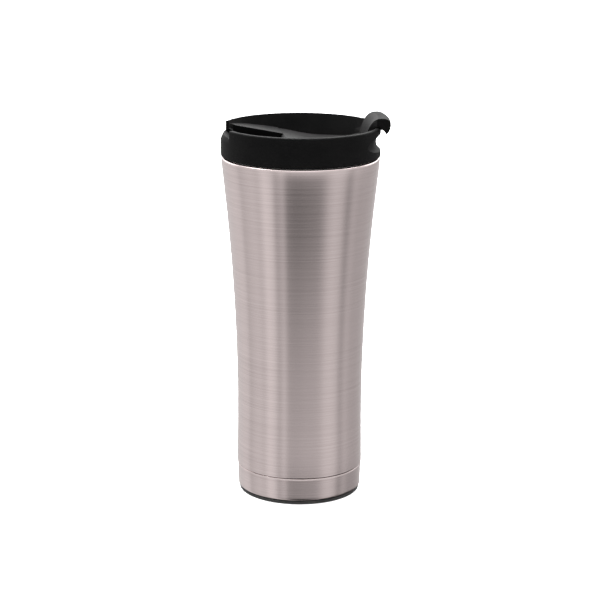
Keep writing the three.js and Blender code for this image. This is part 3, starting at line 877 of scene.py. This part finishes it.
# The same directions low down, where the table in front of the mug is in shade.
LOW_PANELS = [
    (-180, 0.46), (-147, 0.42), (-123, 0.56), (-110, 0.52), (-102, 0.33), (-92, 0.38), (-80, 0.45),
    (-68, 0.41), (-57, 0.57), (-47, 0.50), (-39, 0.24), (-28, 0.28), (-20, 0.05), (-9, 0.01), (0, 0.01),
    (20, 0.03), (30, 0.05), (37, 0.14), (47, 0.31), (57, 0.39), (68, 0.30), (79, 0.02), (90, 0.19),
    (97, 0.12), (106, 0.0), (123, 0.03), (147, 0.06), (162, 0.30), (180, 0.46),
]
LOW_ANGLE = -26  # elevation below which only the low panels are mirrored
MID_ANGLE = -18.5  # elevation above which only the upper ones are
UPPER_FRONT = 0.55  # grey of the walls above the lid, on the camera's side
UPPER_BACK = 2.0
CEILING = 1.4
UPPER_BAND = (0.0, 0.22)  # sine of the elevation, from the panels to the upper walls
CEILING_BAND = (0.45, 0.9)
BACK_BAND = (0.1, 0.7)  # part of the direction that points away from the camera
PANEL_LIGHT = 1.5
FLOOR_GLOW = 0.55


def floor():
    half = 6.0
    corners = [(-half, -half, 0), (half, -half, 0), (half, half, 0), (-half, half, 0)]
    plane = from_faces("floor", corners, [(0, 1, 2, 3)])
    look = Look("pale_floor")
    haze = look.noise(look.place(), 6.0, 2.0, 0.5)
    look.colour(look.ramp(haze, (0.93, 0.93, 0.93), (0.95, 0.95, 0.95)))
    look.set(Roughness=0.9, Emission_Color=(1, 1, 1, 1), Emission_Strength=FLOOR_GLOW)
    plane.data.materials.append(look.material)
    plane.visible_glossy = False  # the steel mirrors the studio's panels, not the sheet under it


def grey(level):
    return (level, level, level, 1)


def panel_ramp(nodes, part, panels):
    """Brightness by direction round the mug, as a colour ramp over the part of a full turn."""
    bands = nodes.node("ShaderNodeValToRGB")
    stops = bands.color_ramp.elements
    while len(stops) < len(panels):
        stops.new(0.5)
    for stop, (degrees, level) in zip(stops, panels):
        stop.position = (degrees + 180) / 360
        stop.color = grey(level)
    nodes.link(part, bands.inputs[0])
    return bands.outputs[0]


def studio_world():
    """Soft studio surroundings: pale and grey upright panels round the mug, white to the camera."""
    world = bpy.data.worlds.new("studio")
    bpy.context.scene.world = world
    world.use_nodes = True
    world.node_tree.nodes.clear()
    nodes = Nodes(world.node_tree)
    coords = nodes.node("ShaderNodeTexCoord")
    turn = nodes.node("ShaderNodeVectorRotate", rotation_type="Z_AXIS")
    turn.inputs["Angle"].default_value = math.radians(-CAMERA_AZIMUTH)
    nodes.link(coords.outputs["Generated"], turn.inputs["Vector"])
    apart = nodes.node("ShaderNodeSeparateXYZ")
    nodes.link(turn.outputs[0], apart.inputs[0])
    right, away, height = (apart.outputs[axis] for axis in "XYZ")
    angle = nodes.math("ARCTAN2", right, nodes.math("MULTIPLY", away, -1.0))
    part = nodes.math("ADD", nodes.math("DIVIDE", angle, 2 * math.pi), 0.5)
    rising = nodes.fade(height, math.sin(math.radians(LOW_ANGLE)), math.sin(math.radians(MID_ANGLE)))
    walls = nodes.mix(rising, panel_ramp(nodes, part, LOW_PANELS), panel_ramp(nodes, part, PANELS))
    upper = nodes.mix(nodes.fade(away, *BACK_BAND), grey(UPPER_FRONT), grey(UPPER_BACK))
    walls = nodes.mix(nodes.fade(height, *UPPER_BAND), walls, upper)
    surroundings = nodes.mix(nodes.fade(height, *CEILING_BAND), walls, grey(CEILING))
    panels = nodes.node("ShaderNodeBackground")
    panels.inputs["Strength"].default_value = PANEL_LIGHT
    nodes.link(surroundings, panels.inputs["Color"])
    white = nodes.node("ShaderNodeBackground")
    white.inputs["Color"].default_value = grey(1)
    path = nodes.node("ShaderNodeLightPath")
    either = nodes.node("ShaderNodeMixShader")
    out = nodes.node("ShaderNodeOutputWorld")
    nodes.link(path.outputs["Is Camera Ray"], either.inputs[0])
    nodes.link(panels.outputs[0], either.inputs[1])
    nodes.link(white.outputs[0], either.inputs[2])
    nodes.link(either.outputs[0], out.inputs["Surface"])


def softbox(name, azimuth, distance, height, size, power):
    """A lamp aimed at the mug: degrees round it from the camera, metres away and up, watts."""
    light = bpy.data.lights.new(name, "AREA")
    light.shape = "RECTANGLE"
    light.size, light.size_y = size
    light.energy = power
    lamp = new_object(name, light)
    around = math.radians(azimuth + CAMERA_AZIMUTH)
    lamp.location = (distance * math.sin(around), -distance * math.cos(around), height)
    aim = Vector((0, 0, 0.1)) - lamp.location
    lamp.rotation_euler = aim.to_track_quat("-Z", "Y").to_euler()


def camera():
    around = math.radians(CAMERA_AZIMUTH)
    data = bpy.data.cameras.new("camera")
    data.lens = CAMERA_LENS
    data.sensor_width = 36
    eye = new_object("camera", data)
    eye.location = (CAMERA_DISTANCE * math.sin(around), -CAMERA_DISTANCE * math.cos(around), CAMERA_HEIGHT)
    upright = Matrix.Rotation(math.radians(90 - CAMERA_PITCH), 4, "X")
    roll = Matrix.Rotation(math.radians(CAMERA_ROLL), 4, "Z")
    eye.rotation_euler = (Matrix.Rotation(around, 4, "Z") @ upright @ roll).to_euler()
    bpy.context.scene.camera = eye


def studio():
    floor()
    studio_world()
    softbox("left_softbox", -95, 0.75, 1.15, (0.8, 0.6), 8)
    softbox("right_softbox", 115, 0.7, 1.15, (0.7, 0.6), 6)
    softbox("overhead_softbox", 175, 0.12, 1.3, (0.7, 0.5), 45)
    camera()
    bpy.context.scene.view_settings.view_transform = "Standard"


steel_wall()
steel_base()
rubber_foot()
lid_ring()
gasket()
cover()
dress_cad_nodes()
studio()
